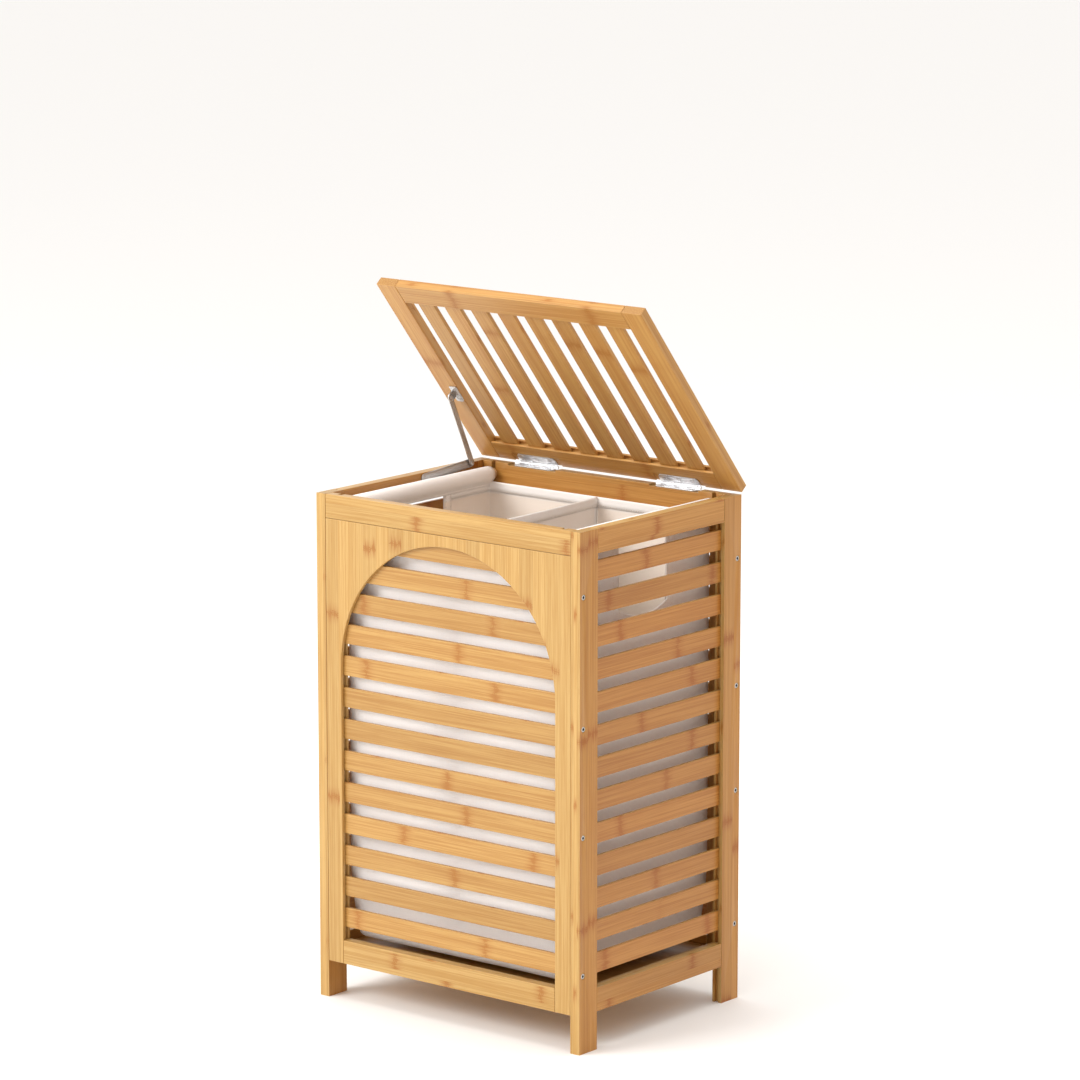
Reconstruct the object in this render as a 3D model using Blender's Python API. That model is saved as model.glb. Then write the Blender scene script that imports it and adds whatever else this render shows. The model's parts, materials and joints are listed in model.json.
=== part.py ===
"""Two-compartment bamboo laundry sorter with a slatted, hinged lid and a lift-out fabric liner.

Metres, +Z up, +X to the right of someone who faces the front, front face towards -Y. The lid stands open on
its folding stay. The origin is on the floor, under the middle of the box that the open object fills.
"""

import math

import bmesh
import bpy
from mathutils import Matrix, Vector

# Carcass
WIDTH = 0.414
DEPTH = 0.318
HEIGHT = 0.640
BOARD = 0.014  # thickness of every frame board
GAP = 0.0003  # between touching pieces
POST = 0.034  # width of a side panel's posts, which are also the legs
STILE = 0.024  # width of the front and back panels' stiles
RAIL = 0.030  # height of the carcass rails
LEG = 0.047  # clear height under the panels
LIP = 0.0052  # frame in front of the slats
BOTTOM_BOARD = 0.006
BOTTOM_BOARD_Z = 0.058

# Slats of the four panels
SLAT_COUNT = 13
SLAT = 0.025
SLAT_THICK = 0.005
SLAT_PITCH = 0.04015
TOP_SLAT_Z = 0.600
GROOVE = 0.0056
GROOVE_DEEP = 0.0045
TONGUE = 0.0042

# Lid
LID_THICK = 0.012
LID_FRAME = 0.030
LID_REST = 0.0005  # height of the closed lid's underside over the carcass
LID_SLATS = 8
LID_OPEN = math.radians(50)

# Butt hinges
HINGE_X = 0.113
HINGE_LONG = 0.062
HINGE_MORTISE = 0.076
MORTISE_DEEP = 0.0025  # in the carcass rail
LID_MORTISE_DEEP = 0.0015
LEAF = 0.0012
LEAF_INSET = 0.0005
KNUCKLE_R = 0.0020
KNUCKLE_BORE_R = 0.0013
PIN_R = 0.0010
KNUCKLE_LONG = 0.0202
LEAF_BACK = 0.0026  # from the hinge axis to the flat leaf's back edge

# Lid stay, on the left
UPPER_ARM = 0.100
LOWER_ARM = 0.091
ARM_THICK = 0.0014
UPPER_ARM_WIDE = 0.008
LOWER_ARM_WIDE = 0.011
LOWER_PIVOT_Y = 0.0285
STAY_DROP = 0.007  # pivots below the top of the carcass
RIVET_R = 0.0017
RIVET_HOLE_R = 0.0020
BRACKET_LONG = 0.027
BRACKET_WIDE = 0.011
BRACKET_PLATE = 0.0015
FLANGE_LONG = 0.012
FLANGE_UNDER = 0.005  # how far the flange reaches below its pivot
ARM_APART = 0.0011  # between the two arms
FLANGE_APART = 0.0005  # between the upper arm and the bracket's flange
RIVET_HEAD_R = 0.0032
ELBOW_HEAD_R = 0.0034
RIVET_HEAD = 0.0009  # how far a head stands past the hole it fills
SCREW_HEAD = 0.0005

# Liner and its rods
LINER_HALF_X = 0.176
LINER_HALF_Y = 0.137
LINER_WALL = 0.002
LINER_LOW = 0.0725
LINER_TOP = 0.616
ROD_X = 0.1755
ROD_Z = 0.625
ROD_R = 0.0070
ROD_PIN_R = 0.0027
SLEEVE_R = 0.0095
SLEEVE_BORE_R = 0.0073
HANDLE_HALF = 0.047
HANDLE_LOW = 0.523  # at the slot's two lower corners
HANDLE_HIGH = 0.612
HANDLE_SAG = 0.011  # the lower edge is an arc that hangs this much in its middle
NOTCH_WIDE = 0.006
NOTCH_DEEP = 0.007

HALF_X = WIDTH / 2
HALF_Y = DEPTH / 2
INNER_X = HALF_X - BOARD
INNER_Y = HALF_Y - BOARD
RAIL_LOW = HEIGHT - RAIL
OPENING_X = INNER_X - STILE  # half width of the arch, which is also its radius
ARCH_Z = 0.427
HINGE_Y = HALF_Y + KNUCKLE_R + GAP
LID_LOW = HEIGHT + LID_REST

# With the lid open its back top edge reaches furthest back
BACK_REACH = (
    HINGE_Y
    - (HINGE_Y - HALF_Y) * math.cos(LID_OPEN)
    + (LID_REST + LID_THICK) * math.sin(LID_OPEN)
)
CENTRE_Y = (BACK_REACH - HALF_Y) / 2

for old in list(bpy.data.objects):
    bpy.data.objects.remove(old, do_unlink=True)

PARTS = bpy.data.collections.new("laundry_sorter")
CUTTERS = bpy.data.collections.new("cutters")
bpy.context.scene.collection.children.link(PARTS)
bpy.context.scene.collection.children.link(CUTTERS)


def material(name, colour, roughness, metallic=0.0):
    made = bpy.data.materials.new(name)
    made.use_nodes = True
    shader = made.node_tree.nodes["Principled BSDF"]
    shader.inputs["Base Color"].default_value = (*colour, 1.0)
    shader.inputs["Roughness"].default_value = roughness
    shader.inputs["Metallic"].default_value = metallic
    made.diffuse_color = (*colour, 1.0)
    return made


BAMBOO = material("bamboo", (0.79, 0.50, 0.22), 0.45)
SLAT_BAMBOO = material("slat_bamboo", (0.74, 0.42, 0.15), 0.45)
LID_BAMBOO = material("lid_bamboo", (0.60, 0.34, 0.12), 0.45)
FABRIC = material("liner_fabric", (0.84, 0.79, 0.74), 0.95)
ROD_WOOD = material("rod_wood", (0.70, 0.50, 0.30), 0.6)
CHROME = material("hinge_metal", (0.88, 0.88, 0.88), 0.2, 1.0)
STEEL = material("stay_steel", (0.55, 0.55, 0.56), 0.35, 1.0)


def empty(name, location, parent=None):
    made = bpy.data.objects.new(name, None)
    made.location = location
    made.parent = parent
    PARTS.objects.link(made)
    return made


# Everything hangs on this frame, whose own origin is under the middle of the carcass
FRAME = empty("frame", (0, -CENTRE_Y, 0))
LID_AXIS = empty("lid_axis", (0, HINGE_Y, HEIGHT), FRAME)


def place(name, mesh, at, look, parent, collection):
    """An object whose mesh is centred on at, given in the carcass's own coordinates with the lid closed."""
    made = bpy.data.objects.new(name, mesh)
    if look:
        mesh.materials.append(look)
    made.parent = parent
    made.location = Vector(at) - offset_of(parent)
    collection.objects.link(made)
    if collection is CUTTERS:
        made.hide_render = True
        made.display_type = "WIRE"
    return made


def offset_of(parent):
    """Where a parent's origin is in the carcass's own coordinates."""
    place_of = Vector((0, 0, 0))
    while parent is not None and parent is not FRAME:
        place_of += parent.location
        parent = parent.parent
    return place_of


def boxes_mesh(name, spans, at):
    """One mesh of boxes, each span its lowest and highest corner, about the point at."""
    shape = bmesh.new()
    for low, high in spans:
        low, high = Vector(low), Vector(high)
        size = Matrix.Diagonal((*(high - low), 1))
        centre = Matrix.Translation((low + high) / 2 - Vector(at))
        bmesh.ops.create_cube(shape, size=1, matrix=centre @ size)
    mesh = bpy.data.meshes.new(name)
    shape.to_mesh(mesh)
    shape.free()
    return mesh


def box(name, low, high, look=BAMBOO, parent=FRAME, collection=PARTS, at=None):
    at = (Vector(low) + Vector(high)) / 2 if at is None else at
    return place(name, boxes_mesh(name, [(low, high)], at), at, look, parent, collection)


def rod_mesh(name, stretches, sides=20):
    """A straight turned rod along X. Each stretch is its start, its end and its radius."""
    shape = bmesh.new()
    for start, end, radius in stretches:
        turn = Matrix.Rotation(math.pi / 2, 4, "Y")
        centre = Matrix.Translation(((start + end) / 2, 0, 0))
        bmesh.ops.create_cone(
            shape,
            cap_ends=True,
            segments=sides,
            radius1=radius,
            radius2=radius,
            depth=end - start,
            matrix=centre @ turn,
        )
    mesh = bpy.data.meshes.new(name)
    shape.to_mesh(mesh)
    shape.free()
    return mesh


def turned(name, stretches, at, look, parent=FRAME, along="X", collection=PARTS, sides=20):
    """A turned piece whose axis passes through at, along X or Y. Its stretches are joined into one body."""
    pieces = []
    for number, stretch in enumerate(stretches):
        target = collection if number == 0 else CUTTERS
        piece_name = name if number == 0 else f"{name}_step_{number}"
        piece = place(piece_name, rod_mesh(piece_name, [stretch], sides), at, look, parent, target)
        if along == "Y":
            piece.rotation_euler.z = math.pi / 2
        pieces.append(piece)
    for step in pieces[1:]:
        combine(pieces[0], step, "UNION")
    pieces[0].data.shade_smooth()
    pieces[0].data.set_sharp_from_angle(angle=math.radians(40))
    return pieces[0]


def combine(target, tool, operation="DIFFERENCE"):
    joint = target.modifiers.new(tool.name, "BOOLEAN")
    joint.operation = operation
    joint.object = tool
    joint.solver = "EXACT"


def cut(target, *spans, parent=FRAME):
    """Cuts boxes out of a piece."""
    name = f"{target.name}_cut_{len(target.modifiers)}"
    at = (Vector(spans[0][0]) + Vector(spans[0][1])) / 2
    combine(target, place(name, boxes_mesh(name, spans, at), at, None, parent, CUTTERS))


def add(target, low, high, parent=FRAME):
    """Joins a box to a piece."""
    name = f"{target.name}_add_{len(target.modifiers)}"
    combine(target, box(name, low, high, None, parent, CUTTERS), "UNION")


def drill(target, at, radius, length, parent=FRAME, along="X"):
    """Cuts a round hole of this length, centred on at, along X or Y."""
    name = f"{target.name}_hole_{len(target.modifiers)}"
    stretch = (-length / 2, length / 2, radius)
    combine(target, turned(name, [stretch], at, None, parent, along, CUTTERS))


def slat_spans(half_long, thick_low, thick_high, axis):
    """The gaps between the slats of a panel, as boxes that run along axis."""
    spans = []
    for number in range(SLAT_COUNT - 1):
        high = TOP_SLAT_Z - SLAT_PITCH * number - SLAT
        low = TOP_SLAT_Z - SLAT_PITCH * (number + 1)
        if axis == "X":
            spans.append(((-half_long, thick_low, low), (half_long, thick_high, high)))
        else:
            spans.append(((thick_low, -half_long, low), (thick_high, half_long, high)))
    return spans


LOWEST_SLAT_Z = TOP_SLAT_Z - SLAT_PITCH * (SLAT_COUNT - 1) - SLAT
SLAT_CLEAR = (GROOVE - SLAT_THICK) / 2


def side_panel(name, side):
    """Two posts that are also legs, two rails tongued into them, and slats in the posts' grooves."""
    outer, inner = side * HALF_X, side * INNER_X
    x_low, x_high = min(outer, inner), max(outer, inner)
    slat_out = side * (HALF_X - LIP - SLAT_CLEAR)
    slat_in = side * (HALF_X - LIP - SLAT_CLEAR - SLAT_THICK)
    slat_low, slat_high = min(slat_out, slat_in), max(slat_out, slat_in)
    for end, sign in (("front", -1), ("back", 1)):
        y_low, y_high = sorted((sign * HALF_Y, sign * (HALF_Y - POST)))
        post = box(f"{name}_{end}_post", (x_low, y_low, 0), (x_high, y_high, HEIGHT))
        face = sign * (HALF_Y - POST)
        g_low, g_high = sorted((face - sign * GAP, face + sign * GROOVE_DEEP))
        cut(
            post,
            (
                (slat_low - SLAT_CLEAR, g_low, -GAP),
                (slat_high + SLAT_CLEAR, g_high, HEIGHT + GAP),
            ),
        )
    half = HALF_Y - POST - GAP
    tongue = HALF_Y - POST + TONGUE
    for level, low in (("top", RAIL_LOW), ("bottom", LEG)):
        rail = box(f"{name}_{level}_rail", (x_low, -half, low), (x_high, half, low + RAIL))
        add(rail, (slat_low, -tongue, low), (slat_high, tongue, low + RAIL))
    slats = box(
        f"{name}_slats",
        (slat_low, -tongue, LOWEST_SLAT_Z),
        (slat_high, tongue, TOP_SLAT_Z),
        SLAT_BAMBOO,
    )
    cut(slats, *slat_spans(HALF_Y - POST, slat_low - GAP, slat_high + GAP, "Y"))


def arch_outline(points=40):
    """The front frame's outline in X and Z: a tall rectangle with a round-topped opening."""
    half = INNER_X - GAP
    outline = [(half, LEG), (half, RAIL_LOW), (-half, RAIL_LOW), (-half, LEG), (-OPENING_X, LEG)]
    for step in range(points + 1):
        turn = math.pi * (1 - step / points)
        outline.append(
            (OPENING_X * math.cos(turn), ARCH_Z + OPENING_X * math.sin(turn))
        )
    outline.append((OPENING_X, LEG))
    return outline


def front_panel():
    """An arched frame, a rail over it, a rail between its stiles, and separate slats in its grooves."""
    face, back = -HALF_Y, -INNER_Y
    shape = bmesh.new()
    corners = [shape.verts.new((x, face, z - ARCH_Z)) for x, z in arch_outline()]
    flat = shape.faces.new(corners)
    grown = bmesh.ops.extrude_face_region(shape, geom=[flat])
    moved = [item for item in grown["geom"] if isinstance(item, bmesh.types.BMVert)]
    bmesh.ops.translate(shape, verts=moved, vec=(0, BOARD, 0))
    bmesh.ops.triangulate(shape, faces=[f for f in shape.faces if len(f.verts) > 4])
    bmesh.ops.recalc_face_normals(shape, faces=shape.faces)
    mesh = bpy.data.meshes.new("front_arch_frame")
    shape.to_mesh(mesh)
    shape.free()
    frame = place("front_arch_frame", mesh, (0, 0, ARCH_Z), BAMBOO, FRAME, PARTS)
    behind = face + LIP
    cut(
        frame,
        ((-OPENING_X, behind, LEG - GAP), (OPENING_X, back + GAP, RAIL_LOW + GAP)),
    )
    cut(
        frame,
        (
            (-OPENING_X - GROOVE_DEEP, behind, LEG - GAP),
            (OPENING_X + GROOVE_DEEP, behind + GROOVE, RAIL_LOW + GAP),
        ),
    )
    half = INNER_X - GAP
    rail = box("front_top_rail", (-half, face, RAIL_LOW + GAP), (half, back, HEIGHT))
    cut(rail, *notch_spans(back, -1))
    slat_low = behind + SLAT_CLEAR
    slat_high = slat_low + SLAT_THICK
    tongue = OPENING_X + TONGUE
    low_rail = box(
        "front_bottom_rail", (-OPENING_X + GAP, face, LEG), (OPENING_X - GAP, back, LEG + RAIL)
    )
    add(low_rail, (-tongue, slat_low, LEG), (tongue, slat_high, LEG + RAIL))
    for number in range(SLAT_COUNT):
        top = TOP_SLAT_Z - SLAT_PITCH * number
        box(
            f"front_slat_{number + 1}",
            (-tongue, slat_low, top - SLAT),
            (tongue, slat_high, top),
            SLAT_BAMBOO,
        )


def notch_spans(face, sign):
    """The open-topped notches in a top rail's inner face, which the liner rods drop into."""
    bottom = ROD_Z - ROD_PIN_R - GAP
    spans = []
    for side in (-1, 1):
        y_low, y_high = sorted((face - sign * GAP, face + sign * NOTCH_DEEP))
        x = side * ROD_X
        spans.append(
            (
                (x - NOTCH_WIDE / 2, y_low, bottom),
                (x + NOTCH_WIDE / 2, y_high, HEIGHT + GAP),
            )
        )
    return spans


def back_panel():
    """Like the front but square: two stiles, two rails and a set of slats. The top rail takes the hinges."""
    inner, outer = INNER_Y, HALF_Y
    slat_high = outer - LIP - SLAT_CLEAR
    slat_low = slat_high - SLAT_THICK
    tongue = OPENING_X + TONGUE
    for side_name, side in (("left", -1), ("right", 1)):
        x_low, x_high = sorted((side * OPENING_X, side * (INNER_X - GAP)))
        stile = box(f"back_{side_name}_stile", (x_low, inner, LEG), (x_high, outer, RAIL_LOW))
        g_low, g_high = sorted((side * (OPENING_X - GAP), side * (OPENING_X + GROOVE_DEEP)))
        cut(
            stile,
            (
                (g_low, slat_low - SLAT_CLEAR, LEG - GAP),
                (g_high, slat_high + SLAT_CLEAR, RAIL_LOW + GAP),
            ),
        )
    half = INNER_X - GAP
    rail = box("back_top_rail", (-half, inner, RAIL_LOW + GAP), (half, outer, HEIGHT))
    cut(rail, *notch_spans(inner, 1))
    mortises = []
    for x in (-HINGE_X, HINGE_X):
        mortises.append(
            (
                (x - HINGE_MORTISE / 2, inner - GAP, HEIGHT - MORTISE_DEEP),
                (x + HINGE_MORTISE / 2, outer + GAP, HEIGHT + GAP),
            )
        )
    cut(rail, *mortises)
    low_rail = box(
        "back_bottom_rail", (-OPENING_X + GAP, inner, LEG), (OPENING_X - GAP, outer, LEG + RAIL)
    )
    add(low_rail, (-tongue, slat_low, LEG), (tongue, slat_high, LEG + RAIL))
    slats = box(
        "back_slats",
        (-tongue, slat_low, LOWEST_SLAT_Z),
        (tongue, slat_high, TOP_SLAT_Z),
        SLAT_BAMBOO,
    )
    cut(slats, *slat_spans(OPENING_X, slat_low - GAP, slat_high + GAP, "X"))


def lid():
    """Two stiles, two grooved rails between them and slats that run from front to back."""
    low, high = LID_LOW, LID_LOW + LID_THICK
    inner_x = HALF_X - LID_FRAME
    inner_y = HALF_Y - LID_FRAME
    for side_name, side in (("left", -1), ("right", 1)):
        x_low, x_high = sorted((side * inner_x, side * HALF_X))
        box(
            f"lid_{side_name}_stile",
            (x_low, -HALF_Y, low),
            (x_high, HALF_Y, high),
            LID_BAMBOO,
            LID_AXIS,
        )
    middle = (low + high) / 2
    for end, sign in (("front", -1), ("back", 1)):
        y_low, y_high = sorted((sign * inner_y, sign * HALF_Y))
        rail = box(
            f"lid_{end}_rail",
            (-inner_x + GAP, y_low, low),
            (inner_x - GAP, y_high, high),
            LID_BAMBOO,
            LID_AXIS,
        )
        g_low, g_high = sorted((sign * (inner_y - GAP), sign * (inner_y + GROOVE_DEEP)))
        cut(
            rail,
            (
                (-inner_x, g_low, middle - GROOVE / 2),
                (inner_x, g_high, middle + GROOVE / 2),
            ),
            parent=LID_AXIS,
        )
        if end == "front":
            continue
        for x in (-HINGE_X, HINGE_X):
            cut(
                rail,
                (
                    (x - HINGE_MORTISE / 2, INNER_Y, low - GAP),
                    (x + HINGE_MORTISE / 2, HALF_Y + GAP, low + LID_MORTISE_DEEP),
                ),
                parent=LID_AXIS,
            )
    gap = (2 * inner_x - LID_SLATS * SLAT) / (LID_SLATS + 1)
    half_long = inner_y + TONGUE
    for number in range(LID_SLATS):
        left = -inner_x + gap + number * (SLAT + gap)
        box(
            f"lid_slat_{number + 1}",
            (left, -half_long, middle - SLAT_THICK / 2),
            (left + SLAT, half_long, middle + SLAT_THICK / 2),
            LID_BAMBOO,
            LID_AXIS,
        )


def hinge_leaf(name, x, low, knuckles, parent):
    """A flat leaf with its knuckles, each knuckle a span along X, bored for the pin."""
    plate_back = HINGE_Y - LEAF_BACK
    leaf = box(
        name,
        (x - HINGE_LONG / 2, INNER_Y + LEAF_INSET, low),
        (x + HINGE_LONG / 2, plate_back, low + LEAF),
        CHROME,
        parent,
        at=(x, HINGE_Y, HEIGHT),
    )
    for number, (start, end) in enumerate(knuckles):
        add(leaf, (x + start, plate_back - LEAF, low), (x + end, HINGE_Y, low + LEAF), parent)
        barrel = turned(
            f"{name}_knuckle_{number}",
            [(start, end, KNUCKLE_R)],
            (x, HINGE_Y, HEIGHT),
            None,
            parent,
            collection=CUTTERS,
        )
        combine(leaf, barrel, "UNION")
    drill(leaf, (x, HINGE_Y, HEIGHT), KNUCKLE_BORE_R, 2 * HINGE_LONG, parent)


def hinges():
    """Two butt hinges: lower leaves in mortises of the back rail, upper leaves in mortises of the lid."""
    low_leaf = HEIGHT - MORTISE_DEEP + GAP
    half, knuckle = HINGE_LONG / 2, KNUCKLE_LONG / 2
    for side_name, x in (("left", -HINGE_X), ("right", HINGE_X)):
        ends = [(-half, -knuckle - GAP), (knuckle + GAP, half)]
        hinge_leaf(f"{side_name}_hinge_carcass_leaf", x, low_leaf, ends, FRAME)
        hinge_leaf(f"{side_name}_hinge_lid_leaf", x, LID_LOW, [(-knuckle, knuckle)], LID_AXIS)
        turned(
            f"{side_name}_hinge_pin",
            [(-half - GAP, half + GAP, PIN_R)],
            (x, HINGE_Y, HEIGHT),
            CHROME,
            sides=12,
        )


def arm(name, length, wide, x_low, parent):
    """A flat bar along +Y from the pivot at its parent's origin, with round ends and a hole at each end."""
    start = offset_of(parent)
    at = (start.x, start.y, start.z)
    mid_x = x_low + ARM_THICK / 2
    half = wide / 2
    bar = box(
        name,
        (x_low, start.y, start.z - half),
        (x_low + ARM_THICK, start.y + length, start.z + half),
        STEEL,
        parent,
        at=at,
    )
    for y in (0, length):
        centre = (mid_x, start.y + y, start.z)
        stretch = [(-ARM_THICK / 2, ARM_THICK / 2, half)]
        cap = turned(f"{name}_end_{int(y > 0)}", stretch, centre, None, parent, collection=CUTTERS)
        combine(bar, cap, "UNION")
        drill(bar, centre, RIVET_HOLE_R, 2 * BOARD, parent)
    return bar


def stay():
    """A folding stay: the upper arm hangs from the lid, and the lower arm turns on the left top rail."""
    wall = -INNER_X
    pivot_z = HEIGHT - STAY_DROP
    upper_y = LOWER_PIVOT_Y + UPPER_ARM - LOWER_ARM
    lower_x = wall + GAP
    upper_x = lower_x + ARM_THICK + ARM_APART
    flange_x = upper_x + ARM_THICK + FLANGE_APART

    # Where the lid carries the upper pivot when it stands open
    reach, drop = HINGE_Y - upper_y, STAY_DROP
    open_y = HINGE_Y - reach * math.cos(LID_OPEN) - drop * math.sin(LID_OPEN)
    open_z = HEIGHT + reach * math.sin(LID_OPEN) - drop * math.cos(LID_OPEN)

    # The elbow, where the two arms' circles meet behind the lower pivot
    dy, dz = open_y - LOWER_PIVOT_Y, open_z - pivot_z
    span = math.hypot(dy, dz)
    inner = math.acos((span**2 + LOWER_ARM**2 - UPPER_ARM**2) / (2 * span * LOWER_ARM))
    lower_turn = math.atan2(dz, dy) - inner
    elbow_y = LOWER_PIVOT_Y + LOWER_ARM * math.cos(lower_turn)
    elbow_z = pivot_z + LOWER_ARM * math.sin(lower_turn)
    upper_turn = math.atan2(elbow_z - open_z, elbow_y - open_y)

    upper_pivot = (upper_x, upper_y, pivot_z)
    upper_axis = empty("stay_upper_axis", Vector(upper_pivot) - offset_of(LID_AXIS), LID_AXIS)
    lower_axis = empty("stay_lower_axis", (lower_x, LOWER_PIVOT_Y, pivot_z), FRAME)
    arm("stay_upper_arm", UPPER_ARM, UPPER_ARM_WIDE, upper_x, upper_axis)
    arm("stay_lower_arm", LOWER_ARM, LOWER_ARM_WIDE, lower_x, lower_axis)
    neck = ARM_THICK + GAP
    turned(
        "stay_elbow_rivet",
        [(GAP, neck, RIVET_R), (neck, neck + RIVET_HEAD, ELBOW_HEAD_R)],
        (upper_x, upper_y + UPPER_ARM, pivot_z),
        STEEL,
        upper_axis,
    )
    # The lid turns by minus LID_OPEN about X, so an arm's own turn is measured from the lid
    upper_axis.rotation_euler.x = upper_turn + LID_OPEN
    lower_axis.rotation_euler.x = lower_turn

    plate_top = LID_LOW - GAP
    flange = box(
        "stay_lid_bracket",
        (flange_x, upper_y - BRACKET_LONG / 2, plate_top - BRACKET_PLATE),
        (flange_x + BRACKET_WIDE, upper_y + BRACKET_LONG / 2, plate_top),
        STEEL,
        LID_AXIS,
    )
    add(
        flange,
        (flange_x, upper_y - FLANGE_LONG / 2, pivot_z - FLANGE_UNDER),
        (flange_x + BRACKET_PLATE, upper_y + FLANGE_LONG / 2, plate_top),
        LID_AXIS,
    )
    drill(flange, upper_pivot, RIVET_HOLE_R, 2 * BOARD, LID_AXIS)
    head_x = flange_x + BRACKET_PLATE - upper_x + GAP
    turned(
        "stay_lid_rivet",
        [(0, head_x, RIVET_R), (head_x, head_x + RIVET_HEAD, RIVET_HEAD_R)],
        upper_pivot,
        STEEL,
        LID_AXIS,
    )
    turned(
        "stay_carcass_screw",
        [(0, neck, RIVET_R), (neck, neck + SCREW_HEAD, RIVET_HEAD_R)],
        (lower_x, LOWER_PIVOT_Y, pivot_z),
        STEEL,
    )


def handle_cutter(name, side, steps=12):
    """A prism along X through an end wall: square at the top, with an arc for its lower edge."""
    radius = (HANDLE_HALF**2 + HANDLE_SAG**2) / (2 * HANDLE_SAG)
    centre = HANDLE_LOW - HANDLE_SAG + radius
    half_turn = math.asin(HANDLE_HALF / radius)
    outline = [(HANDLE_HALF, HANDLE_HIGH), (-HANDLE_HALF, HANDLE_HIGH)]
    for step in range(steps + 1):
        turn = half_turn * (2 * step / steps - 1)
        outline.append((radius * math.sin(turn), centre - radius * math.cos(turn)))
    shape = bmesh.new()
    corners = [shape.verts.new((-SLEEVE_R, y, z - HANDLE_HIGH)) for y, z in outline]
    grown = bmesh.ops.extrude_face_region(shape, geom=[shape.faces.new(corners)])
    moved = [item for item in grown["geom"] if isinstance(item, bmesh.types.BMVert)]
    bmesh.ops.translate(shape, verts=moved, vec=(2 * SLEEVE_R, 0, 0))
    bmesh.ops.recalc_face_normals(shape, faces=shape.faces)
    mesh = bpy.data.meshes.new(name)
    shape.to_mesh(mesh)
    shape.free()
    return place(name, mesh, (side * LINER_HALF_X, 0, HANDLE_HIGH), None, FRAME, CUTTERS)


def liner():
    """A two-compartment bag that hangs by its sleeves from two rods, with a handle slot in each end wall."""
    bag = box(
        "liner_bag",
        (-LINER_HALF_X, -LINER_HALF_Y, LINER_LOW),
        (LINER_HALF_X, LINER_HALF_Y, LINER_TOP),
        FABRIC,
    )
    wall = LINER_WALL
    compartments = []
    for side in (-1, 1):
        x_low, x_high = sorted((side * wall / 2, side * (LINER_HALF_X - wall)))
        compartments.append(
            (
                (x_low, -LINER_HALF_Y + wall, LINER_LOW + wall),
                (x_high, LINER_HALF_Y - wall, LINER_TOP + GAP),
            )
        )
    cut(bag, *compartments)
    for side_name, side in (("left", -1), ("right", 1)):
        at = (side * ROD_X, 0, ROD_Z)
        sleeve = turned(
            f"{side_name}_sleeve",
            [(-LINER_HALF_Y, LINER_HALF_Y, SLEEVE_R)],
            at,
            None,
            along="Y",
            collection=CUTTERS,
        )
        combine(bag, sleeve, "UNION")
        drill(bag, at, SLEEVE_BORE_R, DEPTH, along="Y")
        combine(bag, handle_cutter(f"{side_name}_handle_slot", side))
        shoulder, tip = INNER_Y - GAP, INNER_Y + NOTCH_DEEP - GAP
        turned(
            f"{side_name}_liner_rod",
            [(-shoulder, shoulder, ROD_R), (-tip, tip, ROD_PIN_R)],
            at,
            ROD_WOOD,
            along="Y",
        )


side_panel("left", -1)
side_panel("right", 1)
front_panel()
back_panel()
box(
    "bottom_board",
    (-INNER_X + GAP, -INNER_Y + GAP, BOTTOM_BOARD_Z),
    (INNER_X - GAP, INNER_Y - GAP, BOTTOM_BOARD_Z + BOTTOM_BOARD),
)
lid()
hinges()
stay()
liner()
LID_AXIS.rotation_euler.x = -LID_OPEN
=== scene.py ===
"""Looks of the two-compartment bamboo laundry sorter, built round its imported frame.

Metres, +Z up, front face towards -Y. Wooden pieces are modelled in their own frames with X along the grain, so
that the bamboo follows each board. Lid pieces are laid out with the lid closed and then turned open.
"""

import itertools
import json
import math

import bmesh
import bpy
from mathutils import Matrix, Vector, noise


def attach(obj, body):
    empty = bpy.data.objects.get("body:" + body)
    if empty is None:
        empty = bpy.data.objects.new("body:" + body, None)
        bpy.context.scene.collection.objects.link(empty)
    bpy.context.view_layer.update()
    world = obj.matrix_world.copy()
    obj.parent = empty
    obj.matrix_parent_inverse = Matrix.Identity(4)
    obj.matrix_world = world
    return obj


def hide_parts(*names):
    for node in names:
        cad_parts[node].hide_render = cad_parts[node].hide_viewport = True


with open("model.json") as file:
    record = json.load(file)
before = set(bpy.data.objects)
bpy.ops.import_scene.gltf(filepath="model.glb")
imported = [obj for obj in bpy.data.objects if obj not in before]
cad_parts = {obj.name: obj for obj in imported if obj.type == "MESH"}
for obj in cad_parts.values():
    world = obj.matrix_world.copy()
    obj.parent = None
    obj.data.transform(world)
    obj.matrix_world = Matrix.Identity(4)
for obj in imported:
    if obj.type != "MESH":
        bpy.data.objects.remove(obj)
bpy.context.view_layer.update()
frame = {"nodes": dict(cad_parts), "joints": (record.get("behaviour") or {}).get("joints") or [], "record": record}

IDENTITY = Matrix.Identity(4)
AXES = {"X": Vector((1, 0, 0)), "Y": Vector((0, 1, 0)), "Z": Vector((0, 0, 1))}
TO_X = Matrix.Rotation(math.pi / 2, 4, "Y")  # lays Z along X
GOLDEN = 0.61803399
NUMBERS = itertools.count(1)
JOINTS = {joint["name"]: joint for joint in frame["joints"]}

ARRIS = 0.0009  # eased edge of a frame board
SLAT_ARRIS = 0.0007
WELD = 0.00001
FLAT_WITHIN = math.radians(0.6)
SHARP = math.radians(32)


def lid_turn():
    """Carries a point of the closed lid to where the lid stands open."""
    pivot = Matrix.Translation(JOINTS["lid_hinge"]["pos_m"])
    opened = Matrix.Rotation(-math.radians(JOINTS["lid_hinge"]["range_deg"][1]), 4, "X")
    return pivot @ opened @ pivot.inverted()


LID = lid_turn()


def span(node, turn=IDENTITY):
    """Lowest and highest corner of a CAD node once turn has been undone."""
    undo = turn.inverted()
    points = [undo @ vertex.co for vertex in frame["nodes"][node].data.vertices]
    low = Vector([min(point[axis] for point in points) for axis in range(3)])
    high = Vector([max(point[axis] for point in points) for axis in range(3)])
    return low, high


# ---------------- materials


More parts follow.
